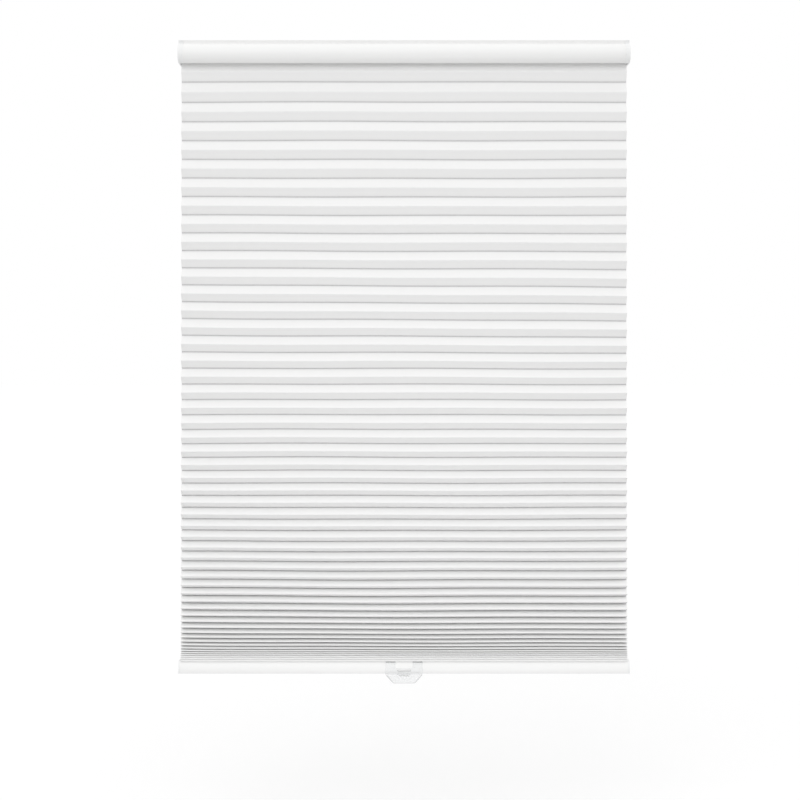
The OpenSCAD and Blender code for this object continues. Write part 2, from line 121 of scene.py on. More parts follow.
EDGE_X = cap_high[0]
CLOTH_HALF = fabric_high[0]
CLOTH_Y = (rail_low[1] + rail_high[1]) / 2
FRONT_Y = head_low[1]
BACK_Y = head_high[1]
SKIRT_Z = head_low[2]
CREST_Z = head_high[2]
RAIL_Z = rail_low[2]
RAIL_TOP = rail_high[2]
SEAT_Z = bracket_high[2] - BRACKET_SHEET
NOSE_Y = FRONT_Y + NOSE_RADIUS
NOSE_Z = SKIRT_Z + NOSE_RADIUS
LEDGE_Z = SKIRT_Z + 2 * NOSE_RADIUS
LIP_Y = NOSE_Y + LIP_SETBACK
SLOT_LIP_Z = SKIRT_Z + SKIRT_DEPTH
SLOT_Z = SLOT_LIP_Z + HEADRAIL_WALL
FLOOR_UNDER_Z = SLOT_Z + HEM_HEIGHT + HEADRAIL_HEM_ROOM
FLOOR_Z = FLOOR_UNDER_Z + HEADRAIL_WALL
SLOT_HALF = HEM_WIDTH / 2 + SLOT_PLAY
MOUTH_HALF = GLUE_WIDTH / 2 + SLOT_PLAY
FRONT_JAW_Y = LIP_Y + HEADRAIL_WALL + FRONT_JAW
BACK_JAW_Y = BACK_Y - BACK_JAW
CLOTH_TOP = SLOT_LIP_Z - CLOTH_GAP
RAIL_SLOT_Z = RAIL_TOP - RAIL_WALL
RAIL_WEB_Z = RAIL_SLOT_Z - HEM_HEIGHT - RAIL_HEM_ROOM
RAIL_ARC = RAIL_REACH - ARC_OFFSET
CORD_X = cord_high[0] - KNOT_RADIUS
CORD_Z = cord_high[2] - CORD_RADIUS
CORD_START_X = cord_low[0]
KNOT_Z = cord_low[2] + KNOT_RADIUS


# Shapes

def rounded(corners, steps=4):
    """Outline from corners (a, b, radius): each corner with a radius becomes an arc of it.

    The arc's ends lie radius / tan(half angle) along both sides, its centre on the bisector, and its
    points are the spherical mix of the two radii; a corner with no radius stays one point.
    """
    points = np.array([c[:2] for c in corners], float)
    radius = np.array([c[2] for c in corners], float)
    before = np.roll(points, 1, axis=0) - points
    after = np.roll(points, -1, axis=0) - points
    before /= np.linalg.norm(before, axis=1, keepdims=True)
    after /= np.linalg.norm(after, axis=1, keepdims=True)
    half = np.arccos(np.clip((before * after).sum(1), -0.99999, 0.99999)) / 2
    bisector = before + after
    bisector /= np.maximum(np.linalg.norm(bisector, axis=1, keepdims=True), 1e-9)
    centre = points + bisector * (radius / np.sin(half))[:, None]
    length = (radius / np.tan(half))[:, None]
    start = points + before * length - centre
    end = points + after * length - centre
    turn = (math.pi - 2 * half)[:, None, None]
    share = np.linspace(0, 1, steps + 1)[None, :, None]
    arc = np.sin((1 - share) * turn) * start[:, None] + np.sin(share * turn) * end[:, None]
    arc = centre[:, None] + arc / np.sin(turn)
    keep = np.ones(arc.shape[:2], bool)
    keep[radius == 0, 1:] = False
    return arc[keep]


def arc_corners(centre, radius, first, last, count):
    """Points of an arc, as corners that stay sharp: centre plus radius times (cos, sin) of the angle."""
    angle = np.radians(np.linspace(first, last, count))
    line = np.stack([centre[0] + radius * np.cos(angle), centre[1] + radius * np.sin(angle)], axis=-1)
    return [(a, b, 0.0) for a, b in line]


def inset(outline, depth):
    """Closed outline moved inward by depth: each point goes along the mitre of its two sides."""
    following = np.roll(outline, -1, axis=0)
    after = following - outline
    after /= np.linalg.norm(after, axis=1, keepdims=True)
    both = after + np.roll(after, 1, axis=0)
    normal = np.stack([-both[:, 1], both[:, 0]], axis=1)
    scale = 2 / np.maximum((normal ** 2).sum(1, keepdims=True), 1.0)
    area = (outline[:, 0] * following[:, 1] - outline[:, 1] * following[:, 0]).sum()
    return outline + math.copysign(depth, area) * normal * scale


def grid_faces(rows, columns, wrap=False):
    """Quads of a grid of vertices numbered row by row; wrap joins the last column to the first."""
    row = np.arange(rows - 1)[:, None] * columns
    column = np.arange(columns if wrap else columns - 1)[None, :]
    beside = (column + 1) % columns
    quads = [row + column, row + beside, row + columns + beside, row + columns + column]
    return np.stack(quads, axis=-1).reshape(-1, 4)


def end_faces(rows, columns):
    """The two faces that close a wrapped grid, round its first and its last row."""
    return [list(range(columns))[::-1], list(range((rows - 1) * columns, rows * columns))]


def carried(stations):
    """A closed outline carried along X: stations are (x, outline), and the two ends are filled.

    Vertex (k, j) is (x of station k, point j of its outline).
    """
    count = len(stations[0][1])
    points = np.concatenate([np.column_stack([np.full(count, x), line]) for x, line in stations])
    faces = grid_faces(len(stations), count, wrap=True).tolist() + end_faces(len(stations), count)
    return points, faces


def joined(*shells):
    """Several (points, faces) shells as one, with the later faces renumbered."""
    points, faces, first = [], [], 0
    for shell_points, shell_faces in shells:
        points.append(shell_points)
        faces.extend([[i + first for i in face] for face in shell_faces])
        first += len(shell_points)
    return np.concatenate(points), faces


def right_and_left(shell):
    """A shell of the blind's right side and the same shell on the other side of the plane X = 0."""
    points, faces = shell
    return ("right", shell), ("left", (points * np.array([-1, 1, 1]), [face[::-1] for face in faces]))


def mesh_piece(name, shell, sharp_angle=35.0):
    """Makes an object from points in millimetres and faces, smooth but for edges over sharp_angle."""
    points, faces = shell
    mesh = bpy.data.meshes.new(name)
    mesh.from_pydata((points * MM).tolist(), [], faces)
    work = bmesh.new()
    work.from_mesh(mesh)
    bmesh.ops.recalc_face_normals(work, faces=work.faces)
    work.to_mesh(mesh)
    work.free()
    mesh.shade_smooth()
    mesh.set_sharp_from_angle(angle=math.radians(sharp_angle))
    piece = bpy.data.objects.new(name, mesh)
    bpy.context.scene.collection.objects.link(piece)
    return piece


def point_values(piece, name, values):
    """Keeps one number for each vertex of a piece."""
    kept = piece.data.attributes.get(name) or piece.data.attributes.new(name, "FLOAT", "POINT")
    kept.data.foreach_set("value", values.astype(np.float32))


# Node trees

class Socket:
    """An output socket; + - * ** with numbers or other sockets add Math nodes to its tree."""

    def __init__(self, finish, socket):
        self.finish = finish
        self.socket = socket

    def math(self, operation, first, second):
        return self.finish.node("ShaderNodeMath", {"operation": operation}, {0: first, 1: second})

    def __add__(self, other):
        return self.math("ADD", self, other)

    def __radd__(self, other):
        return self.math("ADD", other, self)

    def __sub__(self, other):
        return self.math("SUBTRACT", self, other)

    def __rsub__(self, other):
        return self.math("SUBTRACT", other, self)

    def __mul__(self, other):
        return self.math("MULTIPLY", self, other)

    def __rmul__(self, other):
        return self.math("MULTIPLY", other, self)

    def __pow__(self, other):
        return self.math("POWER", self, other)

    def __rpow__(self, other):
        return self.math("POWER", other, self)


class Finish:
    """Node tree of a material or a world."""

    def __init__(self, name, store=bpy.data.materials):
        self.owner = store.new(name)
        self.owner.use_nodes = True
        self.tree = self.owner.node_tree
        self.tree.nodes.clear()

    def node(self, kind, settings=None, sockets=None, output=0):
        """Adds a node of any kind, with its settings and the values or links of its sockets."""
        made = self.tree.nodes.new(kind)
        for key, value in (settings or {}).items():
            setattr(made, key, value)
        for key, value in (sockets or {}).items():
            if isinstance(value, Socket):
                self.tree.links.new(value.socket, made.inputs[key])
            else:
                made.inputs[key].default_value = value
        return Socket(self, made.outputs[output]) if made.outputs else None

    def place(self, scale=(1, 1, 1), turn=(0, 0, 0)):
        """Object coordinates in metres, stretched by scale and turned by Euler angles."""
        coordinates = self.node("ShaderNodeTexCoord", output="Object")
        return self.node("ShaderNodeMapping", {}, {"Vector": coordinates, "Scale": scale, "Rotation": turn})

    def noise(self, scale, detail=2.0, roughness=0.5, stretch=(1, 1, 1)):
        """Value noise from 0 to 1, with about scale lumps to the metre."""
        sockets = {"Vector": self.place(stretch), "Scale": scale, "Detail": detail, "Roughness": roughness}
        return self.node("ShaderNodeTexNoise", {}, sockets)

    def tint(self, factor, first, second):
        """Colour between first and second by factor; first may be a colour from another node."""
        start = first if isinstance(first, Socket) else (*first, 1)
        sockets = {0: factor, 6: start, 7: (*second, 1)}
        return self.node("ShaderNodeMix", {"data_type": "RGBA"}, sockets, output=2)

    def kept(self, name):
        """Number kept at each vertex of the piece under this name, 0 where there is none."""
        return self.node("ShaderNodeAttribute", {"attribute_name": name}, output="Fac")

    def bump(self, height, distance, strength=1.0):
        """Normal from a height field; distance is the height of 1, in metres."""
        return self.node("ShaderNodeBump", {}, {"Height": height, "Distance": distance, "Strength": strength})

    def close(self, **sockets):
        """Principled shader with these sockets, whose names have _ for spaces."""
        values = {key.replace("_", " "): value for key, value in sockets.items()}
        shader = self.node("ShaderNodeBsdfPrincipled", {}, values)
        self.node("ShaderNodeOutputMaterial", {}, {"Surface": shader})
        return self.owner

    def seen(self):
        """1 for rays that show the background: from the camera, off a gloss or through clear plastic."""
        camera, glossy, through = [self.node("ShaderNodeLightPath", output="Is %s Ray" % ray)
                                   for ray in ("Camera", "Glossy", "Transmission")]
        return camera.math("MAXIMUM", camera.math("MAXIMUM", camera, glossy), through)


# Finishes

def rail_paint():
    """Satin white paint on an extrusion: fine orange peel, faint draw lines along the length."""
    finish = Finish("rail_paint")
    peel = finish.noise(1400)
    lines = finish.noise(260, stretch=(0.01, 1, 1))
    cloud = finish.noise(14, 3)
    colour = finish.tint(cloud * 0.6 + lines * 0.4, (0.91, 0.91, 0.905), (0.935, 0.935, 0.93))
    normal = finish.bump(peel * 0.6 + lines * 0.4, 0.00008, 0.35)
    return finish.close(Base_Color=colour, Roughness=0.36 + peel * 0.08, Normal=normal,
                        Specular_IOR_Level=0.4)


def cap_plastic():
    """White moulded plastic: a fine spark-eroded grain and a slightly cooler tone than the paint."""
    finish = Finish("cap_plastic")
    grain = finish.noise(2600)
    cloud = finish.noise(30)
    colour = finish.tint(cloud, (0.90, 0.905, 0.905), (0.92, 0.925, 0.925))
    normal = finish.bump(grain, 0.00005, 0.4)
    return finish.close(Base_Color=colour, Roughness=0.40 + grain * 0.1, Normal=normal)


def cell_cloth():
    """Non-woven polyester: short matted fibres, thin and thick patches, a grey line along the glue.

    The grey line is partly the glue and partly painted shade in the creases.
    """
    finish = Finish("cell_cloth")
    fold = finish.kept("fold")
    fibres = finish.noise(900, 3, 0.65, stretch=(1, 3.2, 3.2))
    cross = finish.noise(1100, 3, 0.65, stretch=(3.4, 1, 1))
    patch = finish.noise(120, 3, 0.6)
    matted = fibres * 0.4 + cross * 0.35 + patch * 0.25
    # Painted shade: the colour greys steeply towards the glue strips, partly the glue's own line and partly
    # the shade in the creases.
    glue = (1 - fold) ** 14.0
    plain = finish.tint(matted, (0.945, 0.945, 0.94), (0.90, 0.90, 0.90))
    colour = finish.tint(glue, plain, (0.52, 0.515, 0.52))
    normal = finish.bump(matted, 0.00022, 0.45)
    return finish.close(Base_Color=colour, Roughness=0.86 + fibres * 0.1, Normal=normal,
                        Specular_IOR_Level=0.2, Sheen_Weight=0.08, Sheen_Roughness=0.5)


def braided_cord():
    """White braided cord: two crossing sets of slanted strands, darker between them with painted shade."""
    finish = Finish("braided_cord")
    one, other = [finish.node("ShaderNodeTexWave", {}, {"Vector": finish.place(turn=(0, lean, 0)),
                                                        "Scale": 620.0}) for lean in (0.6, -0.6)]
    strand_and_shade = one * 0.5 + other * 0.5
    # Painted shade: darker where the strands sink, from the same wave that gives the bump.
    colour = finish.tint(strand_and_shade, (0.74, 0.74, 0.72), (0.88, 0.88, 0.86))
    normal = finish.bump(strand_and_shade, 0.0001, 0.6)
    return finish.close(Base_Color=colour, Roughness=0.75 + strand_and_shade * 0.1, Normal=normal)


def wound_cord():
    """Cord wound on a spool: level turns, one above the other, darker between turns with painted shade."""
    finish = Finish("wound_cord")
    turns = finish.node("ShaderNodeTexWave", {"bands_direction": "Z", "wave_profile": "SIN"},
                        {"Vector": finish.place(), "Scale": 314.0, "Distortion": 0.6})
    # Painted shade: darker where the turns sink, from the same wave that gives the bump.
    colour = finish.tint(turns, (0.70, 0.70, 0.68), (0.88, 0.88, 0.86))
    normal = finish.bump(turns, 0.0004, 0.8)
    return finish.close(Base_Color=colour, Roughness=0.8 - turns * 0.05, Normal=normal)


def clear_plastic():
    """Clear moulded plastic: see-through face on, closed at its edges, faint flow waves.

    Its grey at the hooks, outline and tab and under the slot is painted shade, kept at the points.
    """
    finish = Finish("clear_plastic")
    flow = finish.noise(60)
    # Painted shade: the kept edge value greys and closes the plastic at the hooks, outline and tab, and
    # paints a shadow line under the slot.
    edge = finish.kept("edge")
    rim = finish.node("ShaderNodeLayerWeight", {}, {"Blend": 0.15}, "Facing")
    clear = finish.tint(flow, (0.80, 0.83, 0.85), (0.87, 0.89, 0.91))
    colour = finish.tint(edge, clear, (0.46, 0.46, 0.45))
    normal = finish.bump(flow, 0.0002, 0.3)
    return finish.close(Base_Color=colour, Roughness=0.05 + flow * 0.06, IOR=1.49,
                        Alpha=0.05 + rim * 0.6 + edge * 0.5, Normal=normal)


def plated_steel():
    """Zinc plated sheet steel: rolling lines and a mottled plate."""
    finish = Finish("plated_steel")
    lines = finish.noise(900, 3, stretch=(0.03, 1, 1))
    mottle = finish.noise(160, 3)
    colour = finish.tint(mottle, (0.62, 0.63, 0.65), (0.76, 0.77, 0.79))
    normal = finish.bump(lines, 0.00004, 0.4)
    return finish.close(Base_Color=colour, Metallic=1.0, Roughness=0.28 + lines * 0.16 + mottle * 0.06,
                        Normal=normal)


def spring_steel():
    """Blued ribbon spring: polished, with lines along its coils."""
    finish = Finish("spring_steel")
    turns = finish.noise(2200, stretch=(1, 1, 0.02))
    colour = finish.tint(turns, (0.42, 0.44, 0.48), (0.60, 0.61, 0.64))
    normal = finish.bump(turns, 0.0001, 0.5)
    return finish.close(Base_Color=colour, Metallic=1.0, Roughness=0.22 + turns * 0.12, Normal=normal)


def moulding(name, dark, light):
    """Matte moulded plastic between two tones, with a fine grain."""
    finish = Finish(name)
    grain = finish.noise(1800)
    cloud = finish.noise(45, 3)
    colour = finish.tint(cloud, dark, light)
    normal = finish.bump(grain, 0.00006, 0.4)
    return finish.close(Base_Color=colour, Roughness=0.48 + grain * 0.12, Normal=normal)


PAINT = rail_paint()
CAP = cap_plastic()
FABRIC = cell_cloth()
CORD = braided_cord()
WOUND = wound_cord()
CLEAR = clear_plastic()
STEEL = plated_steel()
SPRING = spring_steel()
PALE = moulding("pale_moulding", (0.74, 0.74, 0.73), (0.80, 0.80, 0.79))
GREY = moulding("grey_moulding", (0.36, 0.37, 0.39), (0.43, 0.44, 0.46))

for node, material in {
    "wall_bracket_left": STEEL, "wall_bracket_right": STEEL, "motor_screws": STEEL,
    "roller_pin_left": STEEL, "roller_pin_right": STEEL, "weight_bar": STEEL, "spring_ribbon": SPRING,
    "top_strip": PALE, "bottom_strip": PALE, "motor_cover": PALE, "cord_guide_left": PALE,
    "cord_guide_right": PALE, "cord_spool_left": PALE, "cord_spool_right": PALE, "output_drum": PALE,
    "idler_gear": PALE, "cord_anchor_left": PALE, "cord_anchor_right": PALE, "motor_base": GREY,
    "guide_roller_left": CAP, "guide_roller_right": CAP, "storage_drum": CAP,
    "cord_winding_left": WOUND, "cord_winding_right": WOUND,
}.items():
    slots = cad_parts[node].data.materials
    slots.clear()
    slots.append(material)


def finished(piece, material, slot, body, *nodes):
    """Gives a piece its material, lets it stand for nodes and ride on a body; the slot is not used."""
    piece.data.materials.append(material)
    if nodes:
        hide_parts(*nodes)
    if body:
        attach(piece, body)


# Headrail and its caps

LIP_ARC = (55.0, -12.0)
LIP_POINTS = 9
NOSE_POINTS = 49
INSIDE_POINTS = 17
CREST_ROUND = 0.35
EDGE_ROUND = 0.4
ROOT_ROUND = 0.3
COVER_ROUND = 1.0
PLATE_ROUND = 0.3
JOINT = 0.1
RIM_BEVEL = 0.25
SINK = 0.3
SINK_BEVEL = 0.2
TONGUE_EDGE = 0.4
TONGUE_CORNER = 0.6
TONGUE_TIP = 0.3
TONGUE_BEVEL = 0.2


def hem_slot(side, mouth_z, lip_z, end_z, radius):
    """Corners of the slot that holds a hem, from one side of its mouth round to the other."""
    half = [(MOUTH_HALF, mouth_z), (MOUTH_HALF, lip_z), (SLOT_HALF, lip_z), (SLOT_HALF, end_z)]
    return ([(CLOTH_Y + side * y, z, radius) for y, z in half]
            + [(CLOTH_Y - side * y, z, radius) for y, z in half[::-1]])


def headrail_front():
    """Front of the headrail from its crest down: the set-back lip, then the half-round nose.

    The lip is a hollow arc that faces down above and up below.
    """
    first, last = np.radians(LIP_ARC)
    radius = (CREST_Z - LEDGE_Z) / (math.sin(first) - math.sin(last))
    centre = (LIP_Y - radius * math.cos(last), CREST_Z - radius * math.sin(first))
    lip = arc_corners(centre, radius, *LIP_ARC, LIP_POINTS)
    lip[0] = (*lip[0][:2], CREST_ROUND)
    return lip + arc_corners((NOSE_Y, NOSE_Z), NOSE_RADIUS, 90, 270, NOSE_POINTS)


def headrail_section():
    """Open section of the headrail: nose, lip, top jaws, hem slot and skirts."""
    wall = HEADRAIL_WALL
    inside = NOSE_RADIUS - wall
    floor_angle = math.degrees(math.asin((FLOOR_Z - NOSE_Z) / inside))
    skirt = [(NOSE_Y + wall, SKIRT_Z, EDGE_ROUND), (NOSE_Y + wall, SLOT_LIP_Z, EDGE_ROUND)]
    slot = hem_slot(-1, SLOT_LIP_Z, SLOT_Z, FLOOR_UNDER_Z, EDGE_ROUND)
    back = [(y, z, EDGE_ROUND) for y, z in [
        (BACK_Y - wall, SLOT_LIP_Z), (BACK_Y - wall, SKIRT_Z), (BACK_Y, SKIRT_Z), (BACK_Y, SEAT_Z),
        (BACK_JAW_Y, SEAT_Z), (BACK_JAW_Y, SEAT_Z - wall), (BACK_Y - wall, SEAT_Z - wall),
        (BACK_Y - wall, FLOOR_Z)]]
    hollow = arc_corners((NOSE_Y, NOSE_Z), inside, 180 - floor_angle, 90, INSIDE_POINTS)
    jaw = [(LIP_Y + wall, LEDGE_Z - wall, ROOT_ROUND), (LIP_Y + wall, SEAT_Z - wall, EDGE_ROUND),
           (FRONT_JAW_Y, SEAT_Z - wall, EDGE_ROUND), (FRONT_JAW_Y, SEAT_Z, EDGE_ROUND),
           (LIP_Y + wall, SEAT_Z, ROOT_ROUND), (LIP_Y + wall, CREST_Z, EDGE_ROUND)]
    return rounded(headrail_front() + skirt + slot + back + hollow + jaw)


def headrail_cover():
    """Whole outline of the headrail's end, with the lip at the front and a plain back."""
    return rounded(headrail_front() + [(BACK_Y, SKIRT_Z, COVER_ROUND), (BACK_Y, CREST_Z, COVER_ROUND)])


def rounded_end(line, radius):
    """Stations that end an outline at the blind's right edge with a quarter round of this radius."""
    angle = np.radians([0, 30, 60, 90])
    return [(EDGE_X - radius * (1 - math.sin(a)), inset(line, radius * (1 - math.cos(a)))) for a in angle]


def headrail_cap_shell():
    """Right end cap: plate with rounded edge, a rim with the rail's section, a tongue in the rail."""
    cover, section = headrail_cover(), headrail_section()
    plate_x = EDGE_X - CAP_PLATE
    plate = carried([(plate_x, cover)] + rounded_end(cover, PLATE_ROUND))

    start = EDGE_X - CAP_LENGTH + JOINT
    rim = carried([(start, inset(section, RIM_BEVEL)), (start + RIM_BEVEL, section), (plate_x, section),
                   (plate_x + SINK, inset(section, SINK_BEVEL))])

    front = LIP_Y + HEADRAIL_WALL + SEAT_GAP
    back = BACK_Y - HEADRAIL_WALL - SEAT_GAP
    low = FLOOR_Z + SEAT_GAP
    high = SEAT_Z - HEADRAIL_WALL - SEAT_GAP
    channel = rounded([
        (front, high, TONGUE_EDGE), (front, low, TONGUE_CORNER),
        (back, low, TONGUE_CORNER), (back, high, TONGUE_EDGE),
        (back - TONGUE_WALL, high, TONGUE_EDGE), (back - TONGUE_WALL, low + TONGUE_WALL, TONGUE_CORNER),
        (front + TONGUE_WALL, low + TONGUE_WALL, TONGUE_CORNER), (front + TONGUE_WALL, high, TONGUE_EDGE)])
    tip = EDGE_X - CAP_LENGTH - CAP_TONGUE
    tongue = carried([(tip, inset(channel, TONGUE_BEVEL)), (tip + TONGUE_TIP, channel),
                      (plate_x + SINK, channel)])
    return joined(plate, rim, tongue)


def rail_length(section, end):
    """A rail of this section from end to end, at X of -end and end."""
    return carried([(-end, section), (end, section)])


headrail = mesh_piece("headrail_shell", rail_length(headrail_section(), EDGE_X - CAP_LENGTH))
finished(headrail, PAINT, "white_rail", "headrail", "headrail")
for side, shell in right_and_left(headrail_cap_shell()):
    cap = mesh_piece("headrail_end_" + side, shell)
    finished(cap, CAP, "white_cap", "headrail", "headrail_cap_" + side)


# Bottom rail and its caps

SIDE_POINTS = 25
RAIL_TOP_ROUND = 0.6
RAIL_FOOT_ROUND = 0.5
RAIL_SLOT_ROUND = 0.35
RAIL_JOINT = 0.05
RAIL_CAP_ROUND = 0.45


def rail_side(side):
    """Corners of one long side of the bottom rail, an arc from its top edge to its bottom edge."""
    top = math.degrees(math.asin((RAIL_TOP - RAIL_Z - RAIL_MID) / RAIL_ARC))
    low = math.degrees(math.asin(-RAIL_MID / RAIL_ARC))
    line = arc_corners((ARC_OFFSET, RAIL_Z + RAIL_MID), RAIL_ARC, top, low, SIDE_POINTS)
    corners = [(CLOTH_Y + side * y, z, 0.0) for y, z, _ in line]
    corners[0] = (*corners[0][:2], RAIL_TOP_ROUND)
    corners[-1] = (*corners[-1][:2], RAIL_FOOT_ROUND)
    return corners


def rail_outline():
    """Corners of the bottom rail's front, foot and back."""
    return rail_side(-1) + rail_side(1)[::-1]


def bottom_rail_section():
    """Bottom rail with the slot of the lower hem open at the top."""
    return rounded(rail_outline() + hem_slot(1, RAIL_TOP, RAIL_SLOT_Z, RAIL_WEB_Z, RAIL_SLOT_ROUND))


def bottom_rail_cap_shell():
    """Right end cap of the bottom rail: a plate with a rounded rim."""
    cover = rounded(rail_outline())
    start = EDGE_X - RAIL_CAP + RAIL_JOINT
    return carried([(start, inset(cover, RIM_BEVEL)), (start + RIM_BEVEL, cover)]
                   + rounded_end(cover, RAIL_CAP_ROUND))


bottom_rail = mesh_piece("bottom_rail_shell", rail_length(bottom_rail_section(), EDGE_X - RAIL_CAP))
finished(bottom_rail, PAINT, "white_rail", "bottom_rail", "bottom_rail")
for side, shell in right_and_left(bottom_rail_cap_shell()):
    cap = mesh_piece("bottom_rail_end_" + side, shell)
    finished(cap, CAP, "white_cap", "bottom_rail", "bottom_rail_cap_" + side)


# Honeycomb cloth

cell = np.arange(CELL_COUNT)
fade = cell / (CELL_COUNT - 2)
cell_angle = np.radians(np.maximum(STACK_ANGLE, TOP_ANGLE * (1 - fade) * (1 + ANGLE_BOW * fade)))
cell_pitch = 2 * CELL_FACE * np.sin(cell_angle)
cell_reach = CELL_FACE * np.cos(cell_angle)
strip_z = CLOTH_TOP - np.concatenate([[0.0], np.cumsum(cell_pitch)])
CLOTH_END = strip_z[-1]
RAISED_PITCH = (CLOTH_TOP - CLOTH_END - LIFT) / CELL_COUNT

# Where a cell's face has its points, as shares of its height, and how full and low the faces hang by cell
STEPS = np.array([0, 0.04, 0.14, 0.30, 0.43, 0.48, 0.5, 0.52, 0.57, 0.70, 0.86, 0.96, 1.0])
COLUMNS = 37
FOLD_SOFTNESS = 0.035
FULL_CELLS, FULLNESS = [20, 42, 45, 48, 50], [1.0, 1.35, 1.7, 3.0, 6.0]
DROOP_CELLS, DROOP = [41, 46], [0.065, 0.01]
RAISED_LOBE = 6.0
RAISED_WALL = 0.08
HEAD_LINES = 3
FOOT_LINES = 4
FRONT = np.array([-1, 1, 1, 1])

# Sway: level and width of each wide bump, and the heights over which all of it fades at the rails
UPPER_HIGH, LOWER_HIGH = (-430, 100), (-960, 80)
UPPER_LOW, LOWER_LOW = (-85, 75), (-665, 75)
LOW_DEPTH = 1.3
HEAD_FADE = 60
FOOT_FADE = 25


def fold_share(step, fullness):
    """How far out a point of a cell's face lies: 0 at the glue strips, near 1 at the fold.

    A superellipse (1 - u ** n) ** (1 / n) of a softened u = |2 step - 1|: fullness n of 1 gives flat
    faces with a small round at the fold, and more gives the blunt lobes of closed cells.
    """
    away = np.sqrt(((2 * step - 1) ** 2 + FOLD_SOFTNESS ** 2) / (1 + FOLD_SOFTNESS ** 2))
    return np.maximum(1 - away ** fullness, 0) ** (1 / fullness)


def raised_step(share):
    """Where a point lies between the glue strips of its raised cell, 0 at the upper and 1 at the lower.

    The raised cell is a closed lobe: a superellipse of power RAISED_LOBE whose tip is the cell's fold.
    """
    away = (1 - (share / share.max(axis=1, keepdims=True)) ** RAISED_LOBE) ** (1 / RAISED_LOBE)
    return 0.5 + 0.5 * np.sign(STEPS - 0.5) * away


def bell(z, centre, width):
    """Smooth bump of height 1 round a level."""
    return np.exp(-((z - centre) / width) ** 2)


def sway(x, z):
    """How far the cloth hangs out of true, upward in millimetres.

    Small ripples, and four wide bumps down the height: two that hang low and two that ride high. Of the
    high ones, the upper falls from left to right and the lower sags a little right of the middle. All
    fade out at the two rails.
    """
    across = x / CLOTH_HALF
    ends = np.clip((CLOTH_TOP - z) / HEAD_FADE, 0, 1) * np.clip((z - CLOTH_END) / FOOT_FADE, 0, 1)
    ripple = 0.35 * np.sin(x / 61 + z / 47) + 0.3 * np.sin(x / 113 - z / 83 + 1.3)
    falling = bell(z, *UPPER_HIGH) * (1.0 - 2.4 * across)
    sagging = bell(z, *LOWER_HIGH) * (0.4 + 1.6 * (across - 0.25) ** 2)
    low = LOW_DEPTH * bell(z, *LOWER_LOW) + LOW_DEPTH * bell(z, *UPPER_LOW)
    return ends * (ripple + (falling + sagging) - low)


def cloth_lines():
    """Lines that run along X, as rows of y from the middle plane, z, share of the lift and fold.

    A face point at step s of cell i lies glue_width / 2 + reach(i) * fold_share(s) from the middle
    plane and pitch(i) * s below the glue strip, and droops by a share of that reach; the inside is the
    same hexagon moved inward by the cloth's thickness. The share of the lift brings each point to its
    place in the raised stack. Gives the back skin, a tube for each cell and the pockets of two hems.
    """
    share = fold_share(STEPS, np.interp(cell, FULL_CELLS, FULLNESS)[:, None])
    reach, pitch, angle, droop = [values[:, None] for values in (
        cell_reach, cell_pitch, cell_angle, np.interp(cell, DROOP_CELLS, DROOP))]
    top_z = strip_z[:-1, None] - droop * reach * share
    flat = GLUE_WIDTH / 2 - CLOTH * np.tan(angle / 2)
    tip = GLUE_WIDTH / 2 + reach - CLOTH / np.sin(angle)
    inner_steps = CLOTH / pitch + (1 - 2 * CLOTH / pitch) * STEPS

    strip_rise = np.concatenate([[0.0], np.cumsum(cell_pitch - RAISED_PITCH)[:-1]])[:, None]
    lobe = raised_step(share)
    inner_lobe = RAISED_WALL + (1 - 2 * RAISED_WALL) * lobe
    lift = np.clip((strip_rise + pitch * STEPS - RAISED_PITCH * lobe) / LIFT, 0, 1)
    inner_lift = np.clip((strip_rise + pitch * inner_steps - RAISED_PITCH * inner_lobe) / LIFT, 0, 1)

    strip, hem = GLUE_WIDTH / 2, HEM_WIDTH / 2
    top, bottom = SLOT_Z + HEM_HEIGHT, RAIL_SLOT_Z - HEM_HEIGHT
    head = [[hem, top, 0, 0], [hem, SLOT_Z, 0, 0], [strip, SLOT_Z, 0, 0]]
    foot = [[strip, CLOTH_END, 1, 0], [strip, RAIL_SLOT_Z, 1, 0], [hem, RAIL_SLOT_Z, 1, 0],
            [hem, bottom, 1, 0]]
    cells = np.stack([strip + reach * share, top_z - pitch * STEPS, lift, share], axis=-1)
    skin = np.concatenate([head, cells[:, :-1].reshape(-1, 4), foot])

    tubes = np.stack([flat + (tip - flat) * share, top_z - pitch * inner_steps, inner_lift, share], axis=-1)
    tubes = np.concatenate([tubes * FRONT, tubes[:, ::-1]], axis=1)
    room = hem - CLOTH
    pockets = np.array([[[-room, far, end, 0], [-room, near, end, 0], [room, near, end, 0],
                         [room, far, end, 0]]
                        for far, near, end in [(top - CLOTH, SLOT_Z + CLOTH, 0),
                                               (bottom + CLOTH, RAIL_SLOT_Z - CLOTH, 1)]])
    return skin, tubes, pockets


